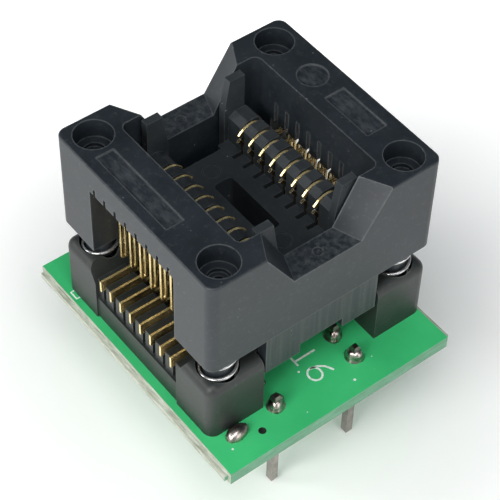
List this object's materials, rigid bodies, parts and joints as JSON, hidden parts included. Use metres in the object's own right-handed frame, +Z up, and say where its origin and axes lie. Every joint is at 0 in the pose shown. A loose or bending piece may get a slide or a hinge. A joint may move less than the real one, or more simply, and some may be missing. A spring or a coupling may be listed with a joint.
{
  "type": "smd to dip adapter board",
  "caption": "Push-down test socket for a small-outline chip on a green board with two rows of square pins for a DIP socket.",
  "frame": {"origin": "on the floor at the tips of the pins, under the middle of the board", "axes": "+Z up from the pin tips to the cover, +Y along the two contact rows towards the socket's back end, +X across them to the right"},
  "size_m": [0.0218, 0.0246, 0.0268],
  "materials": {
    "board": "green solder mask over fibreglass",
    "base_plastic": "moulded, fine grain",
    "nest_plastic": "moulded, slightly shiny",
    "cover_plastic": "moulded, fine grain",
    "pin_metal": "dull nickel plating",
    "spring_steel": "bright drawn wire",
    "contact_gold": "gold plating over copper alloy",
    "solder": "hand-soldered, uneven"
  },
  "bodies": {
    "adapter": {"circuit_board": "board", "left_dip_pin_1": "pin_metal", "left_dip_pin_2": "pin_metal", "left_dip_pin_3": "pin_metal", "left_dip_pin_4": "pin_metal", "left_dip_pin_5": "pin_metal", "left_dip_pin_6": "pin_metal", "left_dip_pin_7": "pin_metal", "left_dip_pin_8": "pin_metal", "right_dip_pin_1": "pin_metal", "right_dip_pin_2": "pin_metal", "right_dip_pin_3": "pin_metal", "right_dip_pin_4": "pin_metal", "right_dip_pin_5": "pin_metal", "right_dip_pin_6": "pin_metal", "right_dip_pin_7": "pin_metal", "right_dip_pin_8": "pin_metal", "pin_solder_joints": "solder", "contact_solder_joints": "solder", "spare_pad_solder": "solder", "socket_base": "base_plastic", "chip_nest": "nest_plastic", "left_front_spring": "spring_steel", "left_back_spring": "spring_steel", "right_front_spring": "spring_steel", "right_back_spring": "spring_steel"},
    "cover": {"push_cover": "cover_plastic"},
    "left_contacts": {"left_contact_1": "contact_gold", "left_contact_2": "contact_gold", "left_contact_3": "contact_gold", "left_contact_4": "contact_gold", "left_contact_5": "contact_gold", "left_contact_6": "contact_gold", "left_contact_7": "contact_gold", "left_contact_8": "contact_gold"},
    "right_contacts": {"right_contact_1": "contact_gold", "right_contact_2": "contact_gold", "right_contact_3": "contact_gold", "right_contact_4": "contact_gold", "right_contact_5": "contact_gold", "right_contact_6": "contact_gold", "right_contact_7": "contact_gold", "right_contact_8": "contact_gold"}
  },
  "joints": [
    {"name": "cover_press", "type": "slide", "parent": "adapter", "child": "cover", "axis": [0, 0, -1], "range_m": [0, 0.0022], "stiffness_N_per_m": 1900, "springref_m": -0.0011, "deforming": ["left_front_spring", "left_back_spring", "right_front_spring", "right_back_spring"]},
    {"name": "left_contacts_open", "type": "hinge", "parent": "adapter", "child": "left_contacts", "pos_m": [-0.00624, 0.0003, 0.01657], "axis": [0, -1, 0], "range_deg": [0, 7.82], "deforming": ["left_contact_1", "left_contact_2", "left_contact_3", "left_contact_4", "left_contact_5", "left_contact_6", "left_contact_7", "left_contact_8"]},
    {"name": "right_contacts_open", "type": "hinge", "parent": "adapter", "child": "right_contacts", "pos_m": [0.00704, 0.0003, 0.01657], "axis": [0, 1, 0], "range_deg": [0, 7.82], "deforming": ["right_contact_1", "right_contact_2", "right_contact_3", "right_contact_4", "right_contact_5", "right_contact_6", "right_contact_7", "right_contact_8"]}
  ],
  "couplings": [
    {"joint": "left_contacts_open", "follows": "cover_press", "rad_per_m": 62},
    {"joint": "right_contacts_open", "follows": "cover_press", "rad_per_m": 62}
  ]
}
